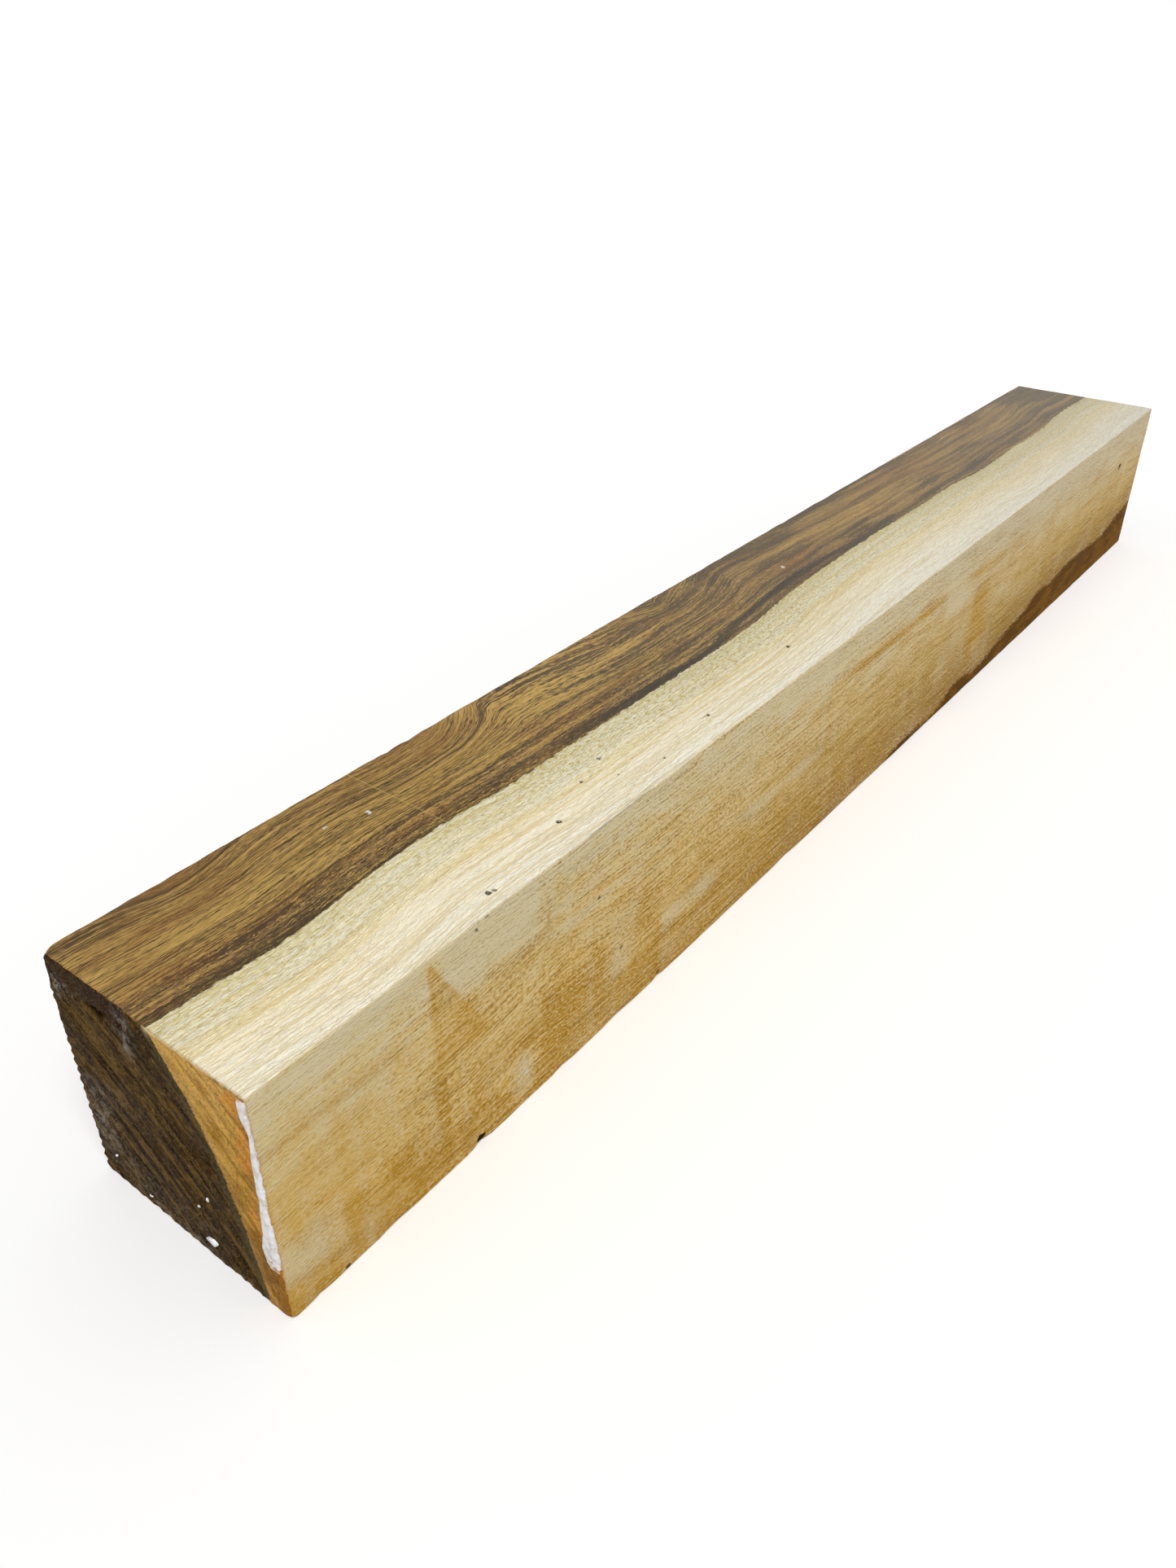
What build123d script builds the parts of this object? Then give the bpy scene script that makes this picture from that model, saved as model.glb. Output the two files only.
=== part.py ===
from build123d import *
from math import ceil, cos, hypot, radians, sin
import os

# Wood turning blank: one squared length of hardwood, sawn on its four long sides and crosscut
# at both ends, with white end-sealing wax that ran down one arris of the near end.
# Millimetres. The origin is the middle of the bottom face, +X runs along the grain away from
# the near end, and +Z is up. The sapwood side faces -Y.

# Sawn size of the blank
blank_length = 610.0
blank_width = 73.5
blank_height = 75.0
arris_wear = 0.5

# Ripples that the saw left across the near end, seen from outside that end
ripple_pitch = 3.0
ripple_depth = 0.45
ripple_slope = 37.0

# Torn strip along the top of the near end, where the saw broke through
tear_width = 33.0
tear_height = 9.5
tear_depth = 0.7
tear_rise = 2.5
tear_teeth = 6
tear_tooth_height = 0.8

# Hollow torn out of the wood below the strip
pit_length = 11.0
pit_height = 2.6
pit_depth = 1.5
pit_taper = 25.0
pit_from_side = 18.5

# Corner knocked off at the top of the far long side
top_chip_along = 3.6
top_chip_across = 3.5
top_chip_down = 2.5

# Corner knocked off at the foot of the sapwood side
foot_chip_along = 2.0
foot_chip_across = 2.5
foot_chip_up = 2.0

# Bead of wax down the sapwood arris of the near end: heights, and widths in from the arris
bead_top = 73.0
bead_middle = 45.0
bead_belly = 20.0
bead_foot = 15.5
bead_top_width = 2.0
bead_middle_width = 3.4
bead_belly_width = 6.2
bead_round = 1.2
bead_proud = 0.6
bead_soft_edge = 0.4

# Drop of wax low on the same end
drop_length = 5.0
drop_breadth = 2.6
drop_proud = 0.8
drop_from_arris = 28.0
drop_up = 6.5
drop_tilt = 18.0

# How far behind the deepest ripple the wax is drawn before the wood is cut out of it
wax_root = 0.5

near_end_x = -blank_length / 2

# Sketch plane on the near end, looking at it from outside: right is -Y, up is +Z
near_end = Plane(origin=(near_end_x, 0, 0), x_dir=(0, -1, 0), z_dir=(-1, 0, 0))
far_side = -blank_width / 2
sap_side = blank_width / 2


def chip_plane(side, level, along, across, upright):
    """Slanted plane, facing out, that meets the three arrises of a near-end corner.

    side is -1 at the sapwood side and 1 at the far side, and level is 0 at the foot or
    the height of the blank. along, across and upright are how far the chip reaches.
    """
    facing = (-1 / along, side / across, (1 if level > 0 else -1) / upright)
    return Plane(origin=(near_end_x + along, side * blank_width / 2, level), z_dir=facing)


# The blank: a square prism with worn arrises
with BuildPart() as blank:
    with BuildSketch(near_end):
        Rectangle(blank_width, blank_height, align=(Align.CENTER, Align.MIN))
    extrude(amount=-blank_length)
    fillet(blank.edges().filter_by(Axis.X), radius=arris_wear)

    # Saw ripples: a scalloped profile across them, drawn out along them over the whole end
    slope = radians(ripple_slope)
    reach = hypot(blank_width, blank_height) / 2
    ripple_count = ceil(reach / ripple_pitch)
    half_profile = ripple_count * ripple_pitch
    across_ripples = Plane(
        origin=(near_end_x, 0, blank_height / 2),
        x_dir=(0, -sin(slope), cos(slope)),
        z_dir=(0, -cos(slope), -sin(slope)),
    )
    with BuildSketch(across_ripples):
        with BuildLine():
            for index in range(-ripple_count, ripple_count):
                crest = index * ripple_pitch
                ThreePointArc(
                    (crest, 0),
                    (crest + ripple_pitch / 2, -ripple_depth),
                    (crest + ripple_pitch, 0),
                )
            Polyline(
                (half_profile, 0),
                (half_profile, reach),
                (-half_profile, reach),
                (-half_profile, 0),
            )
        make_face()
    extrude(amount=reach, both=True, mode=Mode.SUBTRACT)

    # Torn strip: a shallow step whose lower border climbs in teeth away from the far side
    tear_foot = blank_height - tear_height
    tooth_pitch = tear_width / tear_teeth
    border = [(far_side, tear_foot)]
    for tooth in range(tear_teeth):
        rise = tear_foot + tear_rise * (tooth + 1) / tear_teeth
        border.append((far_side + tooth_pitch * (tooth + 0.5), rise + tear_tooth_height))
        border.append((far_side + tooth_pitch * (tooth + 1), rise))
    with BuildSketch(near_end):
        with BuildLine():
            Polyline(
                *border,
                (far_side + tear_width, blank_height),
                (far_side, blank_height),
                close=True,
            )
        make_face()
    extrude(amount=-tear_depth, mode=Mode.SUBTRACT)

    # Hollow along the strip's lower border, narrowing inwards
    with BuildSketch(near_end):
        with Locations((far_side + pit_from_side, tear_foot + tear_rise / 2)):
            SlotOverall(pit_length, pit_height)
    extrude(amount=-pit_depth, taper=pit_taper, mode=Mode.SUBTRACT)

    # Chipped corners
    top_chip = chip_plane(1, blank_height, top_chip_along, top_chip_across, top_chip_down)
    foot_chip = chip_plane(-1, 0, foot_chip_along, foot_chip_across, foot_chip_up)
    split(bisect_by=top_chip, keep=Keep.BOTTOM)
    split(bisect_by=foot_chip, keep=Keep.BOTTOM)

# The bead: its outline on the end runs straight down the arris and swells to a belly over
# its foot. It is thickened outwards, its rim is softened, and the rippled wood is cut out of
# it, so that it fills the ripples as run wax does.
with BuildPart() as wax_bead:
    with BuildSketch(near_end.offset(-ripple_depth - wax_root)) as bead_outline:
        with BuildLine():
            Polyline(
                (sap_side, bead_top),
                (sap_side - bead_top_width, bead_top),
                (sap_side - bead_middle_width, bead_middle),
                (sap_side - bead_belly_width, bead_belly),
                (sap_side, bead_foot),
                close=True,
            )
        make_face()
        inner_corners = bead_outline.vertices().sort_by(Axis.X)[:3]
        fillet(inner_corners, radius=bead_round)
    extrude(amount=wax_root + ripple_depth + bead_proud)
    fillet(wax_bead.faces().sort_by(Axis.X)[0].edges(), radius=bead_soft_edge)
    add(blank.part, mode=Mode.SUBTRACT)

# The drop: half an ellipse spun about its length, lying on the end and seated the same way
tilt = radians(drop_tilt)
drop_plane = Plane(
    origin=(
        near_end_x + drop_breadth / 2 - drop_proud,
        -blank_width / 2 + drop_from_arris,
        drop_up,
    ),
    x_dir=(0, -cos(tilt), sin(tilt)),
    z_dir=(-1, 0, 0),
)
with BuildPart() as wax_drop:
    with BuildSketch(drop_plane):
        Ellipse(drop_length / 2, drop_breadth / 2)
        split(bisect_by=Plane.XZ)
    revolve(axis=Axis(drop_plane.origin, drop_plane.x_dir))
    add(blank.part, mode=Mode.SUBTRACT)

blank.part.label = "blank"
wax_bead.part.label = "wax_bead"
wax_drop.part.label = "wax_drop"

os.makedirs("parts", exist_ok=True)
export_step(blank.part, "parts/blank.step")
export_step(wax_bead.part, "parts/wax_bead.step")
export_step(wax_drop.part, "parts/wax_drop.step")
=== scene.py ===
# %% [markdown]
# # A wood turning blank
#
# A turning blank is raw stock for a lathe: one squared length of hardwood, sawn on its four
# long sides, crosscut at both ends and sealed there with wax so that the ends don't dry too
# fast and split. This one was sawn where the dark heartwood meets the pale sapwood, so that
# line runs down its whole top.
#
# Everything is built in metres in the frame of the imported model. Inside this file the wood
# is measured in millimetres from its own corner: `along` the grain from the near end,
# `across` from the sapwood side, and `up` from the bottom. Those are the numbers that a rule
# laid on the blank would give.

# %% Load the frame and take the blank's size from it
import math

import bmesh
import bpy
import numpy as np
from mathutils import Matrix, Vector, noise


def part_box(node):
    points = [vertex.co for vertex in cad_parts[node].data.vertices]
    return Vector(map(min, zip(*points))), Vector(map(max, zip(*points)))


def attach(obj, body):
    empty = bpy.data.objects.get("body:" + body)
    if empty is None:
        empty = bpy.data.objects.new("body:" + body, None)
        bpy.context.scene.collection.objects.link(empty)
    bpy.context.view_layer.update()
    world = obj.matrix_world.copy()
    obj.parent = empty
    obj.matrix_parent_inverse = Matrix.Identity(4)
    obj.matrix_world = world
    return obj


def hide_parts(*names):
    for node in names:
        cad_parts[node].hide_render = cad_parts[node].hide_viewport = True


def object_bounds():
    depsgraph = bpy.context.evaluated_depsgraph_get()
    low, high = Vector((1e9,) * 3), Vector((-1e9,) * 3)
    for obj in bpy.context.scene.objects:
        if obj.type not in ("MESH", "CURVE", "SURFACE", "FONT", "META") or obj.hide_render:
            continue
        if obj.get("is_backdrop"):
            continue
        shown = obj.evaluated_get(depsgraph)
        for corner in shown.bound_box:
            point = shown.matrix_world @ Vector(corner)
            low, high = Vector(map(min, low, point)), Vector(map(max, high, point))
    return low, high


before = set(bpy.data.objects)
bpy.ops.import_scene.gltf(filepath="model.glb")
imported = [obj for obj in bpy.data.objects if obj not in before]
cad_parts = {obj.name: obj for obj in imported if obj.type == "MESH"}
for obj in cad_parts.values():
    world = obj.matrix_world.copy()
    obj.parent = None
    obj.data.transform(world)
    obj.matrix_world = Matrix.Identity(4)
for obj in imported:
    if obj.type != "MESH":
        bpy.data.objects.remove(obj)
cad_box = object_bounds()
scene = bpy.context.scene

MM = 0.001
wood_low, wood_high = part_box("blank")
corner = np.array(wood_low)
length, width, height = (np.array(wood_high - wood_low) / MM).tolist()
print("blank, mm:", round(length, 1), round(width, 1), round(height, 1))

# %% [markdown]
# ## Small helpers
#
# Colours are written as the hex values that a colour picker shows, and a renderer works in
# linear light, so one function turns the one into the other. One function adds a node, sets
# it up and links it. `place` turns millimetres on the wood into metres in the frame.
#
# The others shape the wood. `step` is a soft step from 0 to 1, `bumps` is smooth noise whose
# bumps have a size in millimetres, `track` draws a smooth line through a few points, which is
# how a hand would copy the run of a grain line, and `mounds` adds up soft round hills.

# %% Helpers
# Plain words for the nodes that are used most: the kind of each, and the setting that it needs
NODE_WORDS = {
    "add": ("ShaderNodeMath", {"operation": "ADD"}),
    "subtract": ("ShaderNodeMath", {"operation": "SUBTRACT"}),
    "times": ("ShaderNodeMath", {"operation": "MULTIPLY"}),
    "times_add": ("ShaderNodeMath", {"operation": "MULTIPLY_ADD"}),
    "divide": ("ShaderNodeMath", {"operation": "DIVIDE"}),
    "absolute": ("ShaderNodeMath", {"operation": "ABSOLUTE"}),
    "range": ("ShaderNodeMapRange", {}),
    "soft_range": ("ShaderNodeMapRange", {"interpolation_type": "SMOOTHSTEP"}),
    "mix": ("ShaderNodeMix", {"data_type": "RGBA"}),
    "ramp": ("ShaderNodeValToRGB", {}),
    "noise": ("ShaderNodeTexNoise", {"normalize": False}),
    "mark": ("ShaderNodeAttribute", {}),
    "split": ("ShaderNodeSeparateXYZ", {}),
}


def linear(hex_colour):
    """An sRGB hex colour such as '#c08a35' as linear red, green, blue and alpha."""
    parts = [int(hex_colour[i:i + 2], 16) / 255 for i in (1, 3, 5)]
    return [p / 12.92 if p <= 0.04045 else ((p + 0.055) / 1.055) ** 2.4 for p in parts] + [1.0]


def first_output(node):
    """The output that a node gives with its present settings."""
    return next(output for output in node.outputs if output.enabled)


def add_node(tree, kind, inputs=(), size=None, stops=(), **settings):
    """Add a node, set its properties, and fill its inputs with values, colours or links.

    kind is one of the words above, or Blender's own name. inputs is a list in the sockets'
    order, or a dict of sockets. A value may be a number, a hex colour, a socket, or another
    node, whose first output is then used. size is how large a texture's features are on each
    axis, in its vector's units. stops are the (place, hex colour) pairs of a colour ramp.
    """
    kind, usual = NODE_WORDS.get(kind, (kind, {}))
    made = tree.nodes.new(kind)
    for name, value in {**usual, **settings}.items():
        setattr(made, name, value)
    for socket, value in inputs.items() if isinstance(inputs, dict) else enumerate(inputs):
        if isinstance(value, bpy.types.Node):
            value = first_output(value)
        if isinstance(value, bpy.types.NodeSocket):
            tree.links.new(value, made.inputs[socket])
        else:
            made.inputs[socket].default_value = linear(value) if isinstance(value, str) else value
    if size:
        vector = made.inputs["Vector"].links[0].from_socket
        scaled = add_node(tree, "ShaderNodeVectorMath", [vector, size], operation="DIVIDE")
        tree.links.new(scaled.outputs[0], made.inputs["Vector"])
        made.inputs["Scale"].default_value = 1.0
    if stops:
        ramp = made.color_ramp.elements
        ramp[0].position, ramp[1].position = stops[0][0], stops[-1][0]
        for spot, _ in stops[1:-1]:
            ramp.new(spot)
        for element, (_, hex_colour) in zip(ramp, stops):
            element.color = linear(hex_colour)
    return made


def place(points):
    """Millimetres along, across and up the wood, as metres in the frame."""
    return np.asarray(points) * MM + corner


def step(value, low, high):
    """0 below low, 1 above high, and a soft rise between them."""
    share = np.clip((value - low) / (high - low), 0, 1)
    return share * share * (3 - 2 * share)


def bumps(points, pitch, start=0.0):
    """Smooth noise, about -0.5 to 0.5. pitch is the bumps' size on each axis in mm."""
    steps = np.asarray(points) / np.asarray(pitch) + start
    return np.array([noise.noise(spot) for spot in steps.tolist()])


def track(points, at):
    """The smooth line through (place, value) points, read at each place of `at`."""
    places, values = np.array(points, float).T
    slopes = np.gradient(values, places)
    left = np.clip(np.searchsorted(places, at) - 1, 0, len(places) - 2)
    gap = places[left + 1] - places[left]
    t = np.clip((at - places[left]) / gap, 0, 1)
    start = values[left] * (1 + 2 * t) * (1 - t) ** 2 + slopes[left] * gap * t * (1 - t) ** 2
    end = values[left + 1] * t * t * (3 - 2 * t) - slopes[left + 1] * gap * t * t * (1 - t)
    return start + end


def mounds(a, b, table):
    """Soft round hills, added up. Each has a centre and a half width on two axes, and a height."""
    total = 0
    for mid_a, mid_b, reach_a, reach_b, rise in table:
        total = total + rise * np.exp(-((a - mid_a) / reach_a) ** 2 - ((b - mid_b) / reach_b) ** 2)
    return total


# %% [markdown]
# ## The camera
#
# The blank lies on a level surface and is seen from above its near left corner. Its seven
# visible corners fix where the camera stood: close to the near end, which is why the far end
# looks so small. The lens is a wide one, and the camera isn't rolled, so a position, a point
# to look at and a focal length say it all.

# %% Camera
camera_at = (-90.8, -157.35, 260.9)
camera_looks_at = (179.6, 50.65, 37.5)
picture_height = 1926
focal_length_in_pixels = 1482.7
sensor_height = 36.0
nearest_seen = 0.01

camera = bpy.data.objects.new("camera", bpy.data.cameras.new("camera"))
scene.collection.objects.link(camera)
camera.location = place(camera_at)
gaze = Vector(camera_looks_at) - Vector(camera_at)
camera.rotation_euler = gaze.to_track_quat("-Z", "Y").to_euler()
camera.data.sensor_fit = "VERTICAL"
camera.data.sensor_height = sensor_height
camera.data.lens = focal_length_in_pixels / picture_height * sensor_height
camera.data.clip_start = nearest_seen
scene.camera = camera
scene.view_settings.view_transform = "Standard"
print("lens, mm:", round(camera.data.lens, 2))

# %% [markdown]
# ## Light and floor
#
# A product photograph like this is lit by a big soft source over the table and by white
# surroundings. Here the surroundings are a white world, and the soft source is a sun lamp
# with a wide angle, which lights every metre of the floor alike, so the floor stays even.
# Their strengths add up to 1 on a level surface: a colour then renders about as it is written.
#
# To the wood the floor is a pale grey, so that it doesn't flood the sides with light. To the
# camera, and to what mirrors it, the same floor is white, and it keeps the object's shadow.

# %% Light
sky_strength = 0.42
lamp_level = 0.60
lamp_from = Vector((-0.30, -0.38, 0.88)).normalized()
lamp_softness = math.radians(30)

world = bpy.data.worlds.new("white surroundings")
scene.world = world
world.use_nodes = True
tree = world.node_tree
rays = add_node(tree, "ShaderNodeLightPath").outputs
mirror = add_node(tree, "add", [rays["Is Glossy Ray"], rays["Is Transmission Ray"]])
seen = add_node(tree, "add", [rays["Is Camera Ray"], mirror], use_clamp=True)
strength = add_node(tree, "range", {"Value": seen, "To Min": sky_strength, "To Max": 1.0})
sky = tree.nodes["Background"]
sky.inputs["Color"].default_value = linear("#ffffff")
tree.links.new(strength.outputs["Result"], sky.inputs["Strength"])

lamp = bpy.data.objects.new("soft_lamp", bpy.data.lights.new("soft_lamp", "SUN"))
scene.collection.objects.link(lamp)
lamp.data.energy = lamp_level * math.pi / lamp_from.z
lamp.data.angle = lamp_softness
lamp.rotation_euler = (-lamp_from).to_track_quat("-Z", "Y").to_euler()

# %% Floor
floor_reach = 30.0
floor_colour_to_wood = "#cdcdcb"
floor_colour_to_camera = "#ffffff"

floor_mesh = bpy.data.meshes.new("floor")
rim = [(-1, -1), (1, -1), (1, 1), (-1, 1)]
floor_mesh.from_pydata([(x * floor_reach, y * floor_reach, 0) for x, y in rim], [], [(0, 1, 2, 3)])
floor = bpy.data.objects.new("floor", floor_mesh)
scene.collection.objects.link(floor)

floor_paint = bpy.data.materials.new("pale studio floor")
floor_paint.use_nodes = True
tree = floor_paint.node_tree
tree.nodes.clear()
rays = add_node(tree, "ShaderNodeLightPath").outputs
seen = add_node(tree, "add", [rays["Is Camera Ray"], rays["Is Glossy Ray"]], use_clamp=True)
colour = add_node(tree, "mix", {0: seen, 6: floor_colour_to_wood, 7: floor_colour_to_camera})
paint = add_node(tree, "ShaderNodeBsdfDiffuse", [colour])
add_node(tree, "ShaderNodeOutputMaterial", [paint])
floor_mesh.materials.append(floor_paint)
floor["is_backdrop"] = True

# %% [markdown]
# ## The block, ruled for carving
#
# The real blank is a plain square prism, and all that makes it wood is in its surface: worn
# arrises, saw ripples on its end, chips and small holes. A sculpted mesh could hold that, but
# a ruled one can be carved by formulas, always comes out the same, and stays closed.
#
# So the block starts as a box whose faces are ruled into small cells. The lines stand close
# together near the arrises, where the shape changes, and near the camera's end, and further
# apart down the length. The ends are then ruled finer again, because they hold the ripples.

# %% Rule the block
line_gap_at_arris = 0.25
line_gap_at_end = 0.5
widest_gap_across = 1.8
widest_gap_along = 4.5
gap_growth_across = 0.22
gap_growth_along = 0.02
gap_growth_from_far_end = 0.15
near_end_cuts = 2
far_end_cuts = 1
end_skin = 0.01


def ruled(total, first, widest, growth, growth_back):
    """Places from 0 to total, closest together at the two ends."""
    places = [0.0]
    while places[-1] < total:
        gap = first + growth * places[-1]
        gap_back = first + growth_back * max(total - places[-1], 0)
        places.append(places[-1] + min(widest, gap, gap_back))
    return np.array(places) * total / places[-1]


def ruled_box(lines):
    """A closed box of four-sided cells. lines holds the places ruled on each of the axes."""
    mesh = bmesh.new()
    corners = {}
    for axis in range(3):
        second, third = (axis + 1) % 3, (axis + 2) % 3
        for level in (0, len(lines[axis]) - 1):
            for a in range(len(lines[second]) - 1):
                for b in range(len(lines[third]) - 1):
                    cell = []
                    for step_a, step_b in ((0, 0), (1, 0), (1, 1), (0, 1)):
                        key = [level] * 3
                        key[second] = a + step_a
                        key[third] = b + step_b
                        key = tuple(key)
                        if key not in corners:
                            corners[key] = mesh.verts.new([lines[n][key[n]] for n in range(3)])
                        cell.append(corners[key])
                    mesh.faces.new(cell if level else cell[::-1])
    return mesh


def cut_finer(mesh, cuts, chosen):
    """Divide each side of the chosen cells by so many cuts."""
    cells = [cell for cell in mesh.faces if chosen(cell.calc_center_median())]
    sides = list({side for cell in cells for side in cell.edges})
    bmesh.ops.subdivide_edges(mesh, edges=sides, cuts=cuts, use_grid_fill=True)


lines_along = ruled(length, line_gap_at_end, widest_gap_along, gap_growth_along, gap_growth_from_far_end)
lines_across, lines_up = (
    ruled(side, line_gap_at_arris, widest_gap_across, gap_growth_across, gap_growth_across)
    for side in (width, height)
)
block = ruled_box([lines_along, lines_across, lines_up])
cut_finer(block, near_end_cuts, lambda centre: centre.x < end_skin)
cut_finer(block, far_end_cuts, lambda centre: centre.x > length - end_skin)
print("cells:", len(block.faces))

# %% [markdown]
# ## Pinholes, nicks and specks
#
# Sapwood is soft and sweet, and small beetles leave round holes in it about a millimetre
# wide. There are also a few nicks and dark knots of bark by the arrises, and specks of wax
# that spattered on the top. Each has a centre, a radius and a depth. The cells around it are
# cut finer twice, so that a hole has a real rim and bottom.

# %% Where they are: along, across, up, radius, depth
pinholes = [
    (115, 10.7, height, 0.75, 1.4), (80.3, 5.3, height, 0.85, 0.5), (82, 4.9, height, 0.6, 0.4),
    (134, 18, height, 0.5, 0.9), (147, 21.7, height, 0.6, 0.5), (143.6, 12, height, 0.4, 0.6),
    (159, 6.6, height, 0.45, 0.8), (187.7, 10.2, height, 0.55, 1), (243.6, 14, height, 0.7, 1.2),
    (66.5, 0, 2, 1.5, 0.8), (119, 0, 51.5, 0.45, 0.6), (130, 0, 26, 0.7, 0.3), (65.6, 0, 53, 0.4, 0.3),
    (70, 0, 72.5, 0.6, 0.3), (74, 0, 74, 0.5, 0.4), (150, 0, 2, 0.8, 0.5), (18, 0, 0.8, 0.8, 0.4),
    (571, 0, 53.5, 1.6, 0.6),
]
wax_specks = [
    (86.8, 54.6, height, 0.95, 0), (74.6, 58.5, height, 0.6, 0), (302, 49.5, height, 1.1, 0),
    (86, 0, 11, 0.9, 0), (95.2, 0, 60.3, 0.45, 0),
]
rim_cuts = 2
rim_reach = 1.3
rim_margin = 0.6

for *centre, radius, depth in pinholes + wax_specks:
    for share in (2, 1):
        reach = (radius * rim_reach + rim_margin) * share
        cut_finer(block, rim_cuts, lambda spot: (spot - Vector(centre)).length < reach)
print("cells with holes:", len(block.faces))

# %% [markdown]
# ## The run of the grain
#
# Wood grows in layers, so one number says almost all about its figure at a point: how far it
# lies from the layer where heartwood turned to sapwood. That border is drawn once, as the
# line that it makes down the top, and how far it leans to the sapwood side on its way down to
# the bottom. Distance from it is the `ring` number, in millimetres: below 0 is sapwood.
#
# Where a branch or a bump disturbed the tree the layers bend. Swells lift them a little, and
# at two places the layers sweep out to the back arris and come back slowly. All are added to
# the ring number, so that every streak follows them round.

# %% Ring number at each point of the block
heart_edge_on_top = [
    (0, 32.9), (50, 32), (57, 32.9), (100, 34.4), (118, 33.1), (152, 32.8), (203, 32.2), (237, 32),
    (260, 33), (275, 34.8), (305, 36.3), (397, 36.1), (437, 35.3), (447, 34.2), (498, 34.1),
    (540, 34.1), (568, 36.5), (610, 35.6),
]
heart_edge_lean = [
    (0, 25.4), (120, 27.5), (237, 30.8), (275, 33.8), (305, 36.3), (323, 37.5), (363, 37.4),
    (376, 38.4), (400, 37.3), (432, 38.1), (460, 36.6), (472, 37.8), (490, 38), (508, 38.5),
    (540, 38.6), (570, 41.1), (586, 42.2), (610, 42.5),
]
lean_with_depth = [
    (0, 0), (0.1, 0.195), (0.19, 0.37), (0.28, 0.5), (0.5, 0.72), (0.78, 0.895), (1, 1),
]

# along, across, reach along, reach across, rise
swells = [
    (38, 74, 14, 12, 4.5), (103, 62, 17, 14, 2.3), (243, 74, 10, 9, 7), (195, 55, 22, 12, 1.6),
]
# start, turn and end along the blank, and the drop at the back arris
sweeps = [(126, 150, 400, 14.4), (261, 280, 430, 5)]
sweep_low, sweep_high = 45.0, 74.0
bend_depth = 30.0


def ring_number(points):
    """Distance in mm from the heartwood's border, into the heartwood."""
    along, across, up = points.T
    lean = track(heart_edge_lean, along) * track(lean_with_depth, 1 - up / height)
    bend = mounds(along, across, swells)
    out = np.clip((across - sweep_low) / (sweep_high - sweep_low), 0, 1) ** 1.15
    for start, turn, end, drop in sweeps:
        swept = np.clip((along - start) / (turn - start), 0, 1) ** 1.2 * (1 - step(along, turn, end))
        bend = bend - drop * swept * out
    return across - track(heart_edge_on_top, along) + lean + bend * np.exp(-((height - up) / bend_depth) ** 2)


rest = np.array([vertex.co for vertex in block.verts])
along, across, up = rest.T
ring = ring_number(rest)
print("ring number from", round(ring.min(), 1), "to", round(ring.max(), 1), "mm")

# %% [markdown]
# ## Carving the block
#
# Wear only takes wood away, so every change goes inwards and the blank keeps its size:
#
# 1. The arrises are worn round by an amount that wanders a little along them.
# 2. The saw left ripples 3 mm apart slantwise across the end. They fade out over the first
#    few millimetres of the sides, which is what makes the end's outline look toothed.
# 3. Along the top of the end the saw broke through and tore a strip out, with a hollow under it.
# 4. Two corners at the foot and one at the top are knocked off, each by a slanted plane.
# 5. The pinholes and nicks go in.

# %% Ripples and the torn strip on the near end
ripple_pitch = 3.0
ripple_depth = 0.30
saw_centre_across, saw_centre_up = width + 76.0, -99.0
tear_width = 33.0
tear_height = 9.5
tear_rise = 2.5
tear_depth = 0.7
tear_tooth_pitch = 2.75
pit_from_far_side = 18.5
pit_up = height - tear_height + tear_rise / 2
pit_half_length = 5.5
pit_half_height = 1.4
pit_depth = 1.5
lump_across, lump_up, lump_reach_across, lump_reach_up = 68.0, 24.0, 5.5, 11.0
middle_of_saw_cut = (saw_centre_across - width / 2, height / 2 - saw_centre_up)


def saw_track(across, up):
    """How far a spot on the end lies from the saw's centre in mm, and how far round it."""
    right, rise = saw_centre_across - across, up - saw_centre_up
    return np.hypot(right, rise), np.arctan2(right, rise) * math.hypot(*middle_of_saw_cut)


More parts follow.
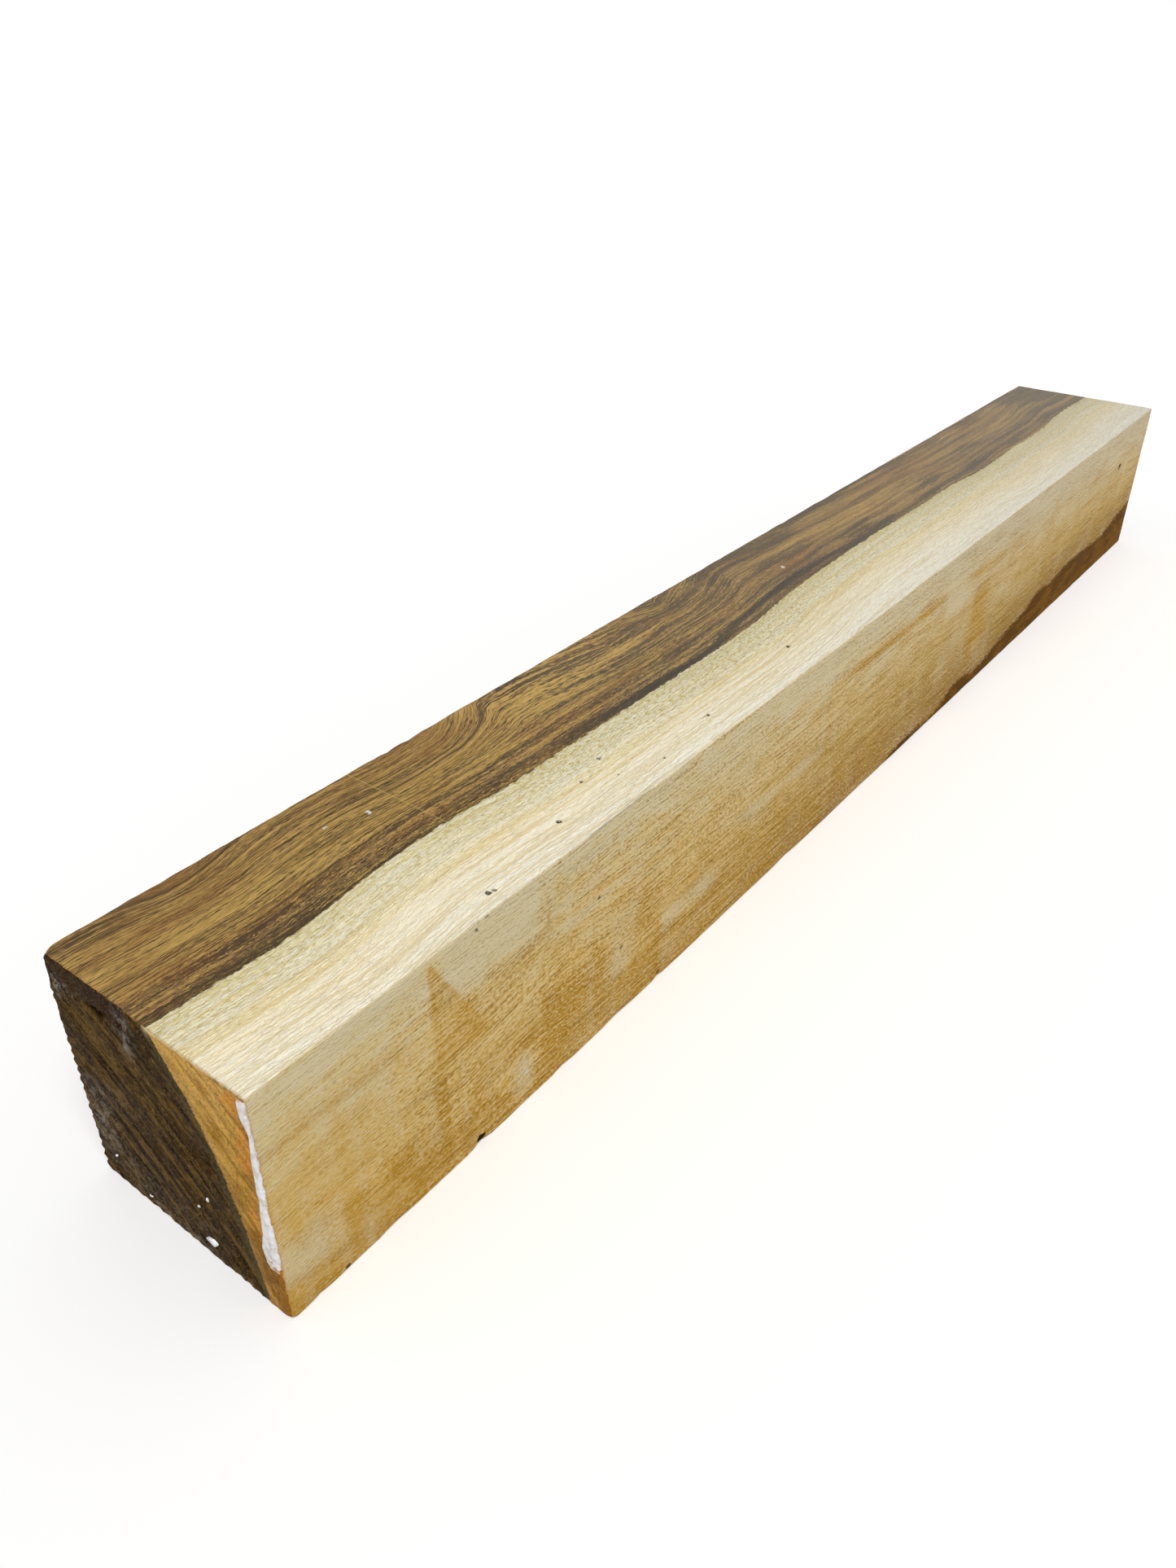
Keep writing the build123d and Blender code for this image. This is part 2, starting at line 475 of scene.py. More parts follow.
def near_end_shape(across, up):
    """How far the near end lies behind its flat in mm, and its ripple, torn and pit shares."""
    spots = np.stack([across, up, np.zeros_like(across)], 1)
    from_saw, round_saw = saw_track(across, up)
    phase = (from_saw + 0.9 * bumps(spots, 16.0)) / ripple_pitch % 1.0
    hollow = 4 * phase * (1 - phase)
    scallop = ripple_depth * hollow * (0.80 + 0.9 * bumps(spots, 11.0, 7.0))
    grooves = 0.12 * bumps(np.stack([from_saw, round_saw, 0 * up], 1), (1.3, 12.0, 1.0), 5.0)
    grit = grooves + 0.10 * bumps(spots, 2.6, 5.0)
    # The ripples are faint along the foot and along the top edge of the sapwood
    calm = 1 - 0.3 * step(2.5 - up, 0, 2.5)
    calm = calm - 0.85 * step(up, height - 2.5, height) * step(34.0 - across, 0, 3)
    relief = (scallop + grit) * np.clip(calm, 0.1, 1) + 0.05

    # The torn strip, with a toothed lower border and standing fibres, and the hollow under it
    from_far_side = width - across
    teeth = np.abs((from_far_side / tear_tooth_pitch) % 2 - 1)
    ragged = 0.8 * teeth + 0.8 * bumps(spots, (1.2, 4.0, 1), 2.0)
    border = height - tear_height + tear_rise * from_far_side / tear_width + ragged
    fibres = 0.30 * bumps(spots, (0.8, 3.0, 1.0), 9.0) + 0.25 * bumps(spots, 2.5, 4.0)
    torn = step(up, border - 0.5, border + 0.5) * step(tear_width - from_far_side, -1.0, 1.5)
    relief = relief * (1 - torn) + (tear_depth + fibres) * torn

    u = (from_far_side - pit_from_far_side) / pit_half_length
    v = (up - pit_up - 0.5 * bumps(spots, 2.5, 8.0)) / pit_half_height
    pit = step(1 - u * u - v * v + 0.9 * bumps(spots, 1.6, 12.0), 0.0, 0.8)
    relief = relief + (pit_depth - 0.3) * pit

    # A lump of clotted wax fills the ripples and hides them
    u = (across - lump_across) / lump_reach_across
    v = (up - lump_up) / lump_reach_up
    lumpy = step(1 - u * u - v * v, 0.0, 0.8)
    relief = relief + lumpy * (0.08 - 0.4 * relief + 0.40 * bumps(spots, 1.5, 6.0))
    return np.clip(relief, 0.0, None), hollow, torn, pit


# %% Carve
arris_wear = 0.45
arris_wear_wander = 0.40
least_wear, most_wear = 0.2, 1.1
relief_fade = 3.0
far_ripple_pitch = 3.0
far_ripple_depth = 0.15
side_waviness = 0.10
# along, across and up of a chip: how far it reaches from the corner along each arris
chips = [
    ((0, width, height), (3.3, 3.3, 2.4)), ((0, 0, 0), (1.8, 2.2, 1.8)), ((0, width, 0), (0.9, 1.5, 1.6)),
]
chip_round = 0.5
# nicks out of the long arrises: along, across, up, reach along, depth
arris_nicks = [
    (167, 0, height, 2, 0.5), (66.5, 0, 0, 2.6, 0.7), (150, 0, 0, 1.8, 0.5), (101, 0, 0, 3, 0.3),
    (9, 0, 0, 1.5, 0.3), (112, width, height, 0.8, 0.35), (120, width, height, 1.2, 0.35),
    (230, 0, 0, 4, 0.4), (345, width, height, 1.5, 0.3), (300, 0, height, 2.5, 0.35),
    (35, 0, 0, 5, 0.35), (128, 0, 0, 5, 0.3),
]
nick_reach_across = 1.2
# dark crust by the sapwood arris of the end: across, up, reach across, reach up, strength
crusts = [(2.1, 65.6, 0.7, 1.3, 0.55), (0.4, 63, 0.7, 1.3, 0.55), (1.6, 62.6, 0.7, 1.3, 0.55)]
dry_chip = (32.4, height, 1.7, 1.5, 1.0)

full = np.array([length, width, height])
middle = full / 2
wander = bumps(rest, 9.0, 1.0) + 0.6 * bumps(rest, 2.5, 4.0)
wear = np.clip(arris_wear + arris_wear_wander * wander, least_wear, most_wear)[:, None]
core = np.clip(rest, wear, full - wear)
outward = rest - core
reach = np.linalg.norm(outward, axis=1, keepdims=True)
carved = core + outward * wear / np.maximum(reach, 1e-9)

for mid_along, mid_across, mid_up, reach_along, depth in arris_nicks:
    offset = carved - (mid_along, mid_across, mid_up)
    from_arris = np.hypot(offset[:, 1], offset[:, 2])
    dent = mounds(offset[:, 0], from_arris, [(0, 0, reach_along, nick_reach_across, depth)])
    direction = np.array([0, middle[1] - mid_across, middle[2] - mid_up])
    carved += direction / np.linalg.norm(direction) * dent[:, None]

sides = np.abs(outward).argmax(axis=1)
facing = np.sign(outward[np.arange(len(rest)), sides])
inward = np.zeros_like(rest)
inward[np.arange(len(rest)), sides] = -facing
waves = 0.5 + bumps(rest, (30.0, 12.0, 12.0), 11.0) + 0.4 * bumps(rest, (2.4, 5.0, 5.0), 13.0)
waves = np.clip(side_waviness * waves, 0, None) * (sides > 0)
carved += inward * waves[:, None]

near_relief, ripple, torn, pit = near_end_shape(across, up)
fade = np.clip(1 - carved[:, 0] / relief_fade, 0, 1) ** 2
carved[:, 0] += fade * near_relief

# The teeth also broke fibres out of the far side's arris and the foot's, between the ripples
broken_out = 0.8 * np.clip(0.4 * ripple + bumps(rest, 1.4, 15.0), 0, 1) * np.clip(1 - along / 2.0, 0, 1)
carved[:, 1] -= broken_out * (1 - torn) * step(across, width - 1.0, width - 0.3)
carved[:, 2] += 0.6 * broken_out * step(1.0 - up, 0, 0.7) * step(across, 8, 12)

# Reddish crumbs along the top edge of the sapwood end, and a dry pale chip by the heartwood
crumbs = step(up, height - 1.3, height - 0.6) * step(16 - across, 0, 8)
crumbs = crumbs * step(bumps(rest, 1.1, 48.0), -0.1, 0.15)
pit = np.maximum(pit, 0.6 * crumbs)
for crust in crusts:
    pit = np.maximum(pit, mounds(across, up, [crust]) * (along < 1))
dry = mounds(across, up, [dry_chip]) + 0.3 * step(up, height - 1.0, height - 0.2)
dry = dry * step(34.6 - across, 0, 0.5) * (1 + bumps(rest, 1.2, 49.0))

fade = np.clip(1 - (length - carved[:, 0]) / relief_fade, 0, 1) ** 2
phase = saw_track(width - across, up)[0] / far_ripple_pitch % 1.0
rough_end = 0.1 + 0.1 * bumps(rest, 1.5, 17.0)
carved[:, 0] -= fade * (far_ripple_depth * 4 * phase * (1 - phase) + rough_end)

for chip_corner, chip_reach in chips:
    normal = np.where(np.array(chip_corner) == 0, -1, 1) / np.array(chip_reach)
    size = np.linalg.norm(normal)
    beyond = ((carved - chip_corner) @ normal + 1) / size + 0.12 * bumps(rest, 1.6, 19.0)
    eased = np.clip(beyond + chip_round, 0, None) ** 2 / 4 / chip_round
    beyond = np.where(beyond > chip_round, beyond, eased)
    carved -= beyond[:, None] * normal / size

# The pinholes are painted dark inside, as the shade in them
hole_shade_and_dirt = np.zeros(len(rest))
for *centre, radius, depth in pinholes:
    distance = np.linalg.norm(rest - centre, axis=1)
    ragged = distance + 0.35 * radius * bumps(rest, radius, 21.0)
    dent = 1 - step(ragged, 0.45 * radius, radius)
    inward = np.array([0, 0, -1.0]) if centre[2] == height else np.array([0, 1.0, 0])
    carved += inward * (dent * depth)[:, None]
    hole_shade_and_dirt = np.maximum(hole_shade_and_dirt, min(0.4 + 0.9 * depth, 1) * (1 - step(ragged, 0.8 * radius, 1.2 * radius)))

speck = np.zeros(len(rest))
for *centre, radius, depth in wax_specks:
    distance = np.linalg.norm(rest - centre, axis=1) + 0.9 * radius * bumps(rest, radius, 22.0)
    speck = np.maximum(speck, 1 - step(distance, 0.6 * radius, radius))

carved = np.clip(carved, 0, full)
print("deepest carving, mm:", round(float(np.abs(carved - rest).max()), 2))

# %% [markdown]
# ## Marks in and on the surface
#
# Some things aren't in the run of the grain. On the top a few areas of the heartwood are
# darker, and some redder. The sapwood side carries an old greyish film of dried sap and wax,
# laid on in upright swipes, golden where it is thin, and a sharp wedge near the end where
# something kept it off. The near end carries clotted grey wax, and dirt sits in the arris.
#
# Each is a mask from 0 to 1, or for the wedge and the inky line a distance in mm, kept with
# the vertices for the materials to read. The lists below give them on the wood, in
# millimetres.

# %% Darker and redder areas of the top: along, across, reach along, reach across, strength
shade_areas = [
    (11, 71, 9, 4, 0.75), (30, 67, 14, 2.5, 0.4), (55, 72, 12, 2.5, 0.35), (14, 56.5, 12, 1.3, 0.6),
    (40, 40, 32, 1.2, 0.55), (178, 66, 24, 9, 0.45), (165, 73, 14, 2.5, 0.3), (238, 72, 5, 5, 0.4),
    (247, 67, 3, 7, 0.4), (275, 65, 4, 8, 0.4), (300, 73, 25, 3, 0.5), (345, 73, 40, 3, 0.6),
    (390, 74, 40, 3, 0.6), (350, 45.5, 30, 1.8, 0.6), (415, 45, 30, 2, 0.5), (290, 39, 30, 2, 0.4),
    (530, 46, 34, 9, -0.3), (604, 58, 12, 18, 0.8), (582, 66, 24, 10, 0.8), (560, 45, 40, 5, 0.2),
    (14, 45, 24, 8, 0.35), (225, 46, 30, 12, 0.2),
]
red_areas = [
    (38, 73, 14, 2.6, 0.8), (124, 67, 18, 7, 0.7), (90, 68, 20, 5, 0.35), (10, 44, 14, 8, 0.6),
    (24, 62, 26, 8, 0.6), (200, 45, 40, 3, 0.5), (235, 60, 30, 5, 0.35), (310, 50, 40, 4, 0.5),
    (420, 62, 60, 6, 0.4), (520, 66, 30, 6, 0.6), (60, 42, 40, 4, 0.3),
]
shade_depth = 14.0

patchy = (1 + 1.2 * bumps(rest, (9.0, 2.0, 9.0), 41.0)) * np.exp(-((height - up) / shade_depth) ** 2)
shade, red = (mounds(along, across, areas) * patchy for areas in (shade_areas, red_areas))
# The whole heartwood is darker from 140 mm on, and streaked with shade beyond 230 mm
shade += 0.40 * step(along, 140, 190) * (0.4 + 0.6 * step(340 - along, 0, 110))
shade += 1.2 * step(along, 230, 330) * np.clip(bumps(rest, (32.0, 5.0, 30.0), 51.0), -0.1, 0.6)

# The inky line leaves the border a third of the way down, and comes back: ink is how far off it is
inky_line = [
    (0, 34.5), (120, 34.5), (180, 34.3), (233, 34.6), (250, 37.6), (262, 39), (280, 40.8), (293, 42),
    (313, 41.5), (330, 40), (360, 38.6), (440, 37.5), (610, 37.5),
]
ink = across - track(inky_line, along) + 0.8 * bumps(rest, (14.0, 30.0, 30.0), 42.0)

# %% Film and gold on the sapwood side: left, right, low, high, soft along, soft up, strength
film_swipes = [
    (58, 92, 56, 90, 1.5, 5, 0.75), (-5, 50, 63, 90, 1.5, 7, 0.35), (-5, 51, -9, 58, 0.8, 6, 0.15),
    (-5, 20, 12, 26, 4, 4, 0.60), (98, 152, 49, 53, 8, 2, 0.60), (126, 133.5, 17, 40, 2, 4, 0.65),
    (134, 136.5, 22, 40, 0.4, 4, 0.50), (150, 188, 18, 25, 6, 3, 0.60), (195, 250, 33, 38, 10, 2.5, 0.75),
    (278, 304, 48, 57, 6, 3, 0.75), (350, 379, 47, 60, 5, 3, 0.70), (352, 380, 15, 46, 3, 6, 0.35),
    (400, 440, 28, 42, 10, 6, 0.40), (80, 91, 4, 18, 3, 3, 0.55), (170, 260, 64, 72, 20, 3, 0.45),
    (104, 140, 64, 74, 8, 3, 0.35), (185, 262, 41, 60, 14, 4, 0.30),
]
gold_swipes = [
    (92.8, 122, 13, 32, 0.5, 5, 1.30), (51.5, 56.5, -9, 40, 0.5, 16, 0.80), (41, 45.5, -9, 12, 0.5, 4, 0.85),
    (134, 150, -9, 14, 0.8, 5, 0.90), (136, 150, 22, 44, 1, 8, 0.50), (18.5, 28, 10, 23, 1, 4, 0.65),
    (381, 400, 14, 50, 1.2, 6, 0.80), (190, 340, -5, 24, 25, 10, 0.50), (255, 368, 57, 61, 25, 1.8, 0.90),
    (374, 425, 55, 60, 10, 2, 0.70), (96.2, 99, 54, 68, 0.3, 3, 0.95), (31, 53, 68.5, 70.5, 6, 0.8, 0.80),
    (-5, 48, 53, 57, 8, 1.5, 0.55), (94, 150, -9, 16, 6, 4, 0.60), (230, 270, 40, 46, 10, 3, 0.45),
    (-5, 1.6, -9, 14, 0.6, 8, 0.9),
]
wedge_left, wedge_top, wedge_foot, wedge_right = 53.0, 74.5, 44.0, 70.0

film = 0.45 * step(up, 50, 75)
gold = np.zeros(len(rest))
for mask, swipes in ((film, film_swipes), (gold, gold_swipes)):
    for left, right, low, high, soft_along, soft_up, strength in swipes:
        inside = step(along, left - soft_along, left + soft_along)
        inside = inside * (1 - step(along, right - 2 * soft_along, right + 2 * soft_along))
        inside = inside * step(up, low - soft_up, low + soft_up)
        mask += strength * inside * (1 - step(up, high - soft_up, high + soft_up))
film = film + 0.4 * bumps(rest, (26.0, 20.0, 12.0), 23.0) + 0.45 * bumps(rest, (4.0, 20.0, 34.0), 25.0)
gold = gold + 0.35 * bumps(rest, (22.0, 20.0, 9.0), 27.0)
# Away from the near end the side is greyer low down, and rosier high up
aged = step(along, 110, 330) * step(62 - up, 0, 50)
rosy = step(along, 150, 450) * (0.4 * step(up, 30, 55) + 0.6 * step(up, 45, 72))

slope_along, slope_down = wedge_right - wedge_left, wedge_top - wedge_foot
from_slant = (wedge_top - up) * slope_along - (along - wedge_left) * slope_down
wedge = np.minimum(along - wedge_left, from_slant / math.hypot(slope_along, slope_down))
wedge = np.minimum(wedge, (up - wedge_foot + 4) / 6)

# %% Wax clots on the end, and dirt in the top arris of the sapwood side
# across, up, reach across, reach up, strength
clot_areas = [
    (lump_across, lump_up, 6.5, 12, 0.70), (43.5, 68.5, 3, 7, 0.60), (43.5, 62, 2.6, 3, 0.4),
    (66, pit_up + 0.8, 12, 1, 0.5), (71, 66, 3, 3, 0.6), (58, 37, 8, 4, 0.2), (52, 5, 6, 3, 0.35),
    (62, 12, 9, 5, 0.25), (36, 12, 14, 6, 0.15), (40, 2, 20, 2, 0.35),
]
dirt_in_arris = (0, height, 0.5, 0.4, 1.0)

clot = mounds(across, up, clot_areas) * (1 + 1.6 * bumps(rest, 2.4, 29.0))
dirt = mounds(across, up, [dirt_in_arris]) * step(along, 90, 110) * step(190 - along, 0, 30)
dirt = dirt * step(bumps(rest, (14.0, 9.0, 9.0), 43.0) + 0.5 * bumps(rest, 2.0, 44.0), -0.10, 0.25)
hole_shade_and_dirt = np.maximum(hole_shade_and_dirt, 0.5 * dirt)

distances = {"wedge": wedge, "ink": ink}
masks = {
    "film": film, "gold": gold, "aged": aged, "rosy": rosy, "clot": clot, "hole_shade_and_dirt": hole_shade_and_dirt,
    "speck": speck, "shade": shade, "red": red, "ripple": ripple, "torn": torn, "pit": pit, "dry": dry,
}
marks = distances | {name: values.clip(0, 1) for name, values in masks.items()}
for name, values in marks.items():
    print("mark", name, "from", round(float(values.min()), 2), "to", round(float(values.max()), 2))

# %% [markdown]
# ## How the fibres of the sapwood side flow
#
# The side was sawn nearly flat to the layers there, so its fine lines don't follow the ring
# number but wander level along the face. They arch over a patch of curly fibre near the end,
# and dip and rise below it. `flow` is the height that a line would have if it were straight.

# %% Flow of the fibres: along, up, reach along, reach up, rise
side_swells = [
    (100, 45, 26, 14, 4.5), (28, 15, 24, 9, -2.5), (88, 20, 16, 8, 3), (62, 12, 18, 7, -1.5),
    (175, 52, 22, 8, 2), (210, 40, 30, 8, -2),
]
curly_patch = (108, 41, 19, 8, 1.1)

flow = up + 1.4 * bumps(rest, (38.0, 20.0, 14.0), 45.0) - mounds(along, up, side_swells)
flow = flow + mounds(along, up, [curly_patch]) * bumps(rest, (3.0, 9.0, 2.2), 47.0)
print("lines leave the level by up to", round(float(np.abs(flow - up).max()), 1), "mm")

# %% Make the blank's mesh
sawn_faces, film_face, end_faces = 0, 1, 2
for cell in block.faces:
    centre = cell.calc_center_median()
    cell.smooth = True
    cell.material_index = sawn_faces
    if centre.x < end_skin or centre.x > length - end_skin:
        cell.material_index = end_faces
    elif centre.y < end_skin:
        cell.material_index = film_face

blank_mesh = bpy.data.meshes.new("timber")
block.to_mesh(blank_mesh)
block.free()
blank_mesh.vertices.foreach_set("co", place(carved).ravel())
from_saw, round_saw = saw_track(across, up)
vector_marks = {
    "sawn": rest,
    "grain": np.stack([along, ring, up], 1),
    "flow": np.stack([along, flow, np.zeros_like(up)], 1),
    "saw_marks": np.stack([from_saw, round_saw, along], 1),
}
for name, values in vector_marks.items():
    blank_mesh.attributes.new(name, "FLOAT_VECTOR", "POINT").data.foreach_set("vector", values.ravel())
for name, values in marks.items():
    blank_mesh.attributes.new(name, "FLOAT", "POINT").data.foreach_set("value", values)
blank_mesh.update()
timber = bpy.data.objects.new("timber", blank_mesh)
scene.collection.objects.link(timber)
print("timber triangles:", sum(len(face.vertices) - 2 for face in blank_mesh.polygons))

# %% [markdown]
# ## What every finish does
#
# A finish is put together in the same way each time. `begin_finish` makes the material, sets
# the constants on its shader and reads the marks. `weighted_sum` adds noises up, coarse and
# fine, which is how wood gets both broad streaks and fibres. `times_shares` makes something
# weaker or stronger along the blank. `paint_over` lays coats of colour over one another, each
# where its share is above 0. `end_finish` links colour, roughness and relief to the shader.

# %% Steps that the finishes share
def weighted_sum(tree, parts):
    """Add values up, each times its weight."""
    total = 0.0
    for value, weight in parts:
        total = add_node(tree, "times_add", [value, weight, total])
    return total


def times_shares(tree, value, at, kind, changes):
    """Multiply a value by shares that change with `at`: from, to, the share before and after."""
    for start, end, before, after in changes:
        share = add_node(tree, kind, [at, start, end, before, after])
        value = add_node(tree, "times", [value, share])
    return value


def paint_over(tree, colour, coats):
    """Mix coats over a colour, each a share and a hex colour.

    A share is a socket or node, or it is made here from the word for a range, what drives it,
    the values where it starts and where it is full, and how much of the coat shows then.
    """
    for share, coat in coats:
        if isinstance(share, tuple):
            kind, value, start, full, most = share
            share = add_node(tree, kind, [value, start, full, 0.0, most])
        colour = add_node(tree, "mix", {0: share, 6: colour, 7: coat})
    return colour


def begin_finish(name, constants, mark_names):
    """A new material with constants on its shader, its tree, and the marks that it reads."""
    material = bpy.data.materials.new(name)
    material.use_nodes = True
    tree = material.node_tree
    for socket, value in constants.items():
        tree.nodes["Principled BSDF"].inputs[socket].default_value = value
    found = {}
    for mark in mark_names:
        made = add_node(tree, "mark", attribute_name=mark)
        found[mark] = made.outputs["Vector" if mark in vector_marks else "Fac"]
    return material, tree, found


def end_finish(material, colour, roughness, relief):
    """Link a finish's colour, roughness range and relief, a sum of heights in mm, to its shader."""
    tree = material.node_tree
    rough = add_node(tree, "range", roughness)
    heights = weighted_sum(tree, relief)
    bump = add_node(tree, "ShaderNodeBump", {"Strength": 1.0, "Distance": MM, "Height": heights})
    for made, socket in ((colour, "Base Color"), (rough, "Roughness"), (bump, "Normal")):
        tree.links.new(first_output(made), tree.nodes["Principled BSDF"].inputs[socket])
    return material


# %% [markdown]
# ## The timber's own figure
#
# The timber is a dense, streaky tropical hardwood of the bocote or sissoo kind: heartwood in
# golden brown with near-black lines, and sapwood in cream. It was bandsawn and not polished,
# so the surface is matt and its pores are open, and they show as short dark dashes.
#
# A flat picture of grain would stretch at the arrises. So the figure is solid: every noise is
# read in millimetres of the grain's own coordinates, long along the grain and thin across the
# layers, and the same noise then makes lines on the long faces and dots on the ends. One node
# group holds it, and all three finishes of the blank share it.

# %% The figure of the wood, shared by all the finishes
figure = bpy.data.node_groups.new("figure of the timber", "ShaderNodeTree")
for name in ("Colour", "Heart", "Tone", "Dash", "Fibre", "Thread"):
    kind = "NodeSocketColor" if name == "Colour" else "NodeSocketFloat"
    figure.interface.new_socket(name, in_out="OUTPUT", socket_type=kind)

# Size in mm along the grain, across the layers and round them, then detail and roughness.
# The noise is signed, about -0.4 to 0.4. Fibres and vessels are thinner than the dashes and
# fibres drawn here, by about half, which would be lost between two pixels.
wobbles = {
    "wave": ((24.0, 6.0, 14.0), 1.0, 0.5),
    "ragged": ((2.6, 0.9, 0.9), 3.0, 0.6),
}
heart_grain = {
    "band": ((110.0, 3.0, 26.0), 1.0, 0.5),
    "strand": ((60.0, 0.50, 6.0), 2.0, 0.55),
    "dash": ((15.0, 0.28, 1.2), 2.0, 0.6),
    "fibre": ((3.0, 0.22, 0.5), 1.0, 0.5),
    "blush": ((45.0, 6.0, 20.0), 2.0, 0.5),
}
sap_grain = {
    "stripe": ((170.0, 1.8, 22.0), 2.0, 0.5),
    "thread": ((40.0, 0.45, 4.0), 2.0, 0.6),
    "fleck": ((2.2, 0.38, 0.6), 2.0, 0.6),
}

tree = figure
grain = add_node(tree, "mark", attribute_name="grain").outputs["Vector"]
along_node, ring_node, round_node = add_node(tree, "split", [grain]).outputs
wood = {}
for name, (size, detail, roughness) in wobbles.items():
    wood[name] = add_node(
        tree, "noise", {"Vector": grain, "Detail": detail, "Roughness": roughness}, size=size
    )
curliness = add_node(tree, "soft_range", [ring_node, 6.0, 18.0, 0.45, 0.12])
for part, table, wave_height, ragged_height in (
    ("heart layer", heart_grain, 0.7, curliness), ("sap layer", sap_grain, 0.5, 0.25)
):
    layer = add_node(tree, "times_add", [wood["wave"], wave_height, ring_node])
    layer = add_node(tree, "times_add", [wood["ragged"], ragged_height, layer])
    wood[part] = layer
    layered = add_node(tree, "ShaderNodeCombineXYZ", [along_node, layer, round_node])
    for name, (size, detail, roughness) in table.items():
        wood[name] = add_node(
            tree, "noise", {"Vector": layered, "Detail": detail, "Roughness": roughness}, size=size
        )

edge = add_node(tree, "times_add", [wood["ragged"], 0.6, ring_node])
heart = add_node(tree, "soft_range", [edge, -0.25, 0.25, 0.0, 1.0])

# Tone: coarse and fine noise added up, and quieter in the far half, where the tree grew evenly
evenness = add_node(tree, "soft_range", [along_node, 100.0, 320.0, 0.0, 0.60])
liveliness = add_node(tree, "subtract", [1.0, evenness])
tone = weighted_sum(tree, [(wood["strand"], 0.50), (wood["dash"], 0.70), (wood["fibre"], 0.75)])
tone = add_node(tree, "times", [tone, liveliness])
tone = add_node(tree, "times_add", [wood["band"], 0.40, tone])

# %% Colours of the heartwood, layer by layer
heart_depth = 44.0
heart_layers = [
    (0, "#5a4b33"), (0.06, "#705c3f"), (0.1, "#8e734d"), (0.18, "#8c714a"), (0.3, "#a68750"),
    (0.49, "#b29253"), (0.59, "#9d7e4d"), (0.66, "#a68750"), (1, "#8f7248"),
]
ring_share = add_node(tree, "divide", [wood["heart layer"], heart_depth])
heart_colour = add_node(tree, "ramp", [ring_share], stops=heart_layers)

# The layers fade into one another in the far half, then blush, dark and golden strands
heart_colour = paint_over(tree, heart_colour, [
    (evenness, "#876d44"),
    (("soft_range", wood["blush"], 0.0, 0.35, 0.40), "#8a5f37"),
    (("range", tone, 0.05, -0.50, 0.90), "#4e3b21"),
    (("range", tone, 0.0, 0.50, 0.80), "#c9a55c"),
])

# The near-black lines: the ring that each follows, its half width, and where along it starts
# and ends, with the share of it before and after
black_lines = [
    (25.3, 0.8, [(52, 82, 0, 1), (158, 140, 0, 1)]), (41.1, 1.0, [(14, 24, 0, 1), (64, 54, 0, 1)]),
]
for line_ring, half_width, ends in black_lines:
    offset = add_node(tree, "subtract", [wood["heart layer"], line_ring])
    offset = add_node(tree, "absolute", [offset])
    line = add_node(tree, "soft_range", [offset, half_width, 0.1, 0.0, 0.75])
    line = times_shares(tree, line, along_node, "soft_range", ends)
    heart_colour = paint_over(tree, heart_colour, [(line, "#3f3325")])

# Along the border the heartwood is darkest
border = add_node(tree, "times_add", [wood["band"], 5.0, wood["heart layer"]])
heart_colour = paint_over(tree, heart_colour, [(("soft_range", border, 3.2, 0.4, 0.45), "#43372a")])

# %% Colours of the sapwood, layer by layer
sap_depth = 34.0
sap_layers = [
    (0, "#d6c890"), (0.09, "#e6d79e"), (0.135, "#e9e2c3"), (0.18, "#eedca3"), (0.31, "#f0e7c6"),
    (0.37, "#f7e4b0"), (0.55, "#fbecc7"), (0.75, "#fef5da"), (1, "#fcf7e4"),
]
sap_share = add_node(tree, "divide", [wood["sap layer"], -sap_depth])
sap_colour = add_node(tree, "ramp", [sap_share], stops=sap_layers)

# Flecks show in the young sapwood by the border, and most of all between 140 and 260 mm along
near_border = add_node(tree, "soft_range", [ring_node, -20.0, -6.0, 0.15, 1.0])
fleck_changes = [(90, 140, 1, 1.5), (260, 320, 1, 0.7)]
near_border = times_shares(tree, near_border, along_node, "range", fleck_changes)
flecks = []
for faint, strong, most in ((0.06, 0.34, 0.45), (-0.08, -0.36, 0.65)):
    fleck = add_node(tree, "soft_range", [wood["fleck"], faint, strong, 0.0, most])
    flecks.append(add_node(tree, "times", [fleck, near_border]))
bluish, olive = flecks

sap_tone = weighted_sum(tree, [(wood["stripe"], 0.45), (wood["thread"], 0.70)])
sap_tone = times_shares(tree, sap_tone, along_node, "range", [(220, 420, 1.6, 0.60)])
sap_colour = paint_over(tree, sap_colour, [
    (("soft_range", sap_tone, -0.03, -0.42, 0.50), "#dcc180"),
    (("soft_range", sap_tone, 0.05, 0.40, 0.50), "#fffae6"),
    (bluish, "#dcdcc8"), (olive, "#b9a968"),
])

# %% Join heartwood and sapwood
timber_colour = add_node(tree, "mix", {0: heart, 6: sap_colour, 7: heart_colour})
add_node(tree, "NodeGroupOutput", [
    timber_colour, heart, tone, wood["dash"], wood["fibre"], wood["thread"],
])
print("nodes in the timber's figure:", len(tree.nodes))

# %% [markdown]
# ## Finish 1: bandsawn long faces
#
# Bare hardwood off a bandsaw: no oil or varnish, so the surface is matt, with a roughness of
# about 0.6, a weak gloss and a faint fuzz. Fibres stand a few hundredths of a millimetre
# proud and pores are small furrows, which a bump from the same noises gives.

# %% Bandsawn faces: top, back and bottom
# Loose fibres swallow most of the gloss that a planed face would have
dry_wood = {"IOR": 1.5, "Specular IOR Level": 0.04}
score_at, score_half_width = 96.4, 0.35


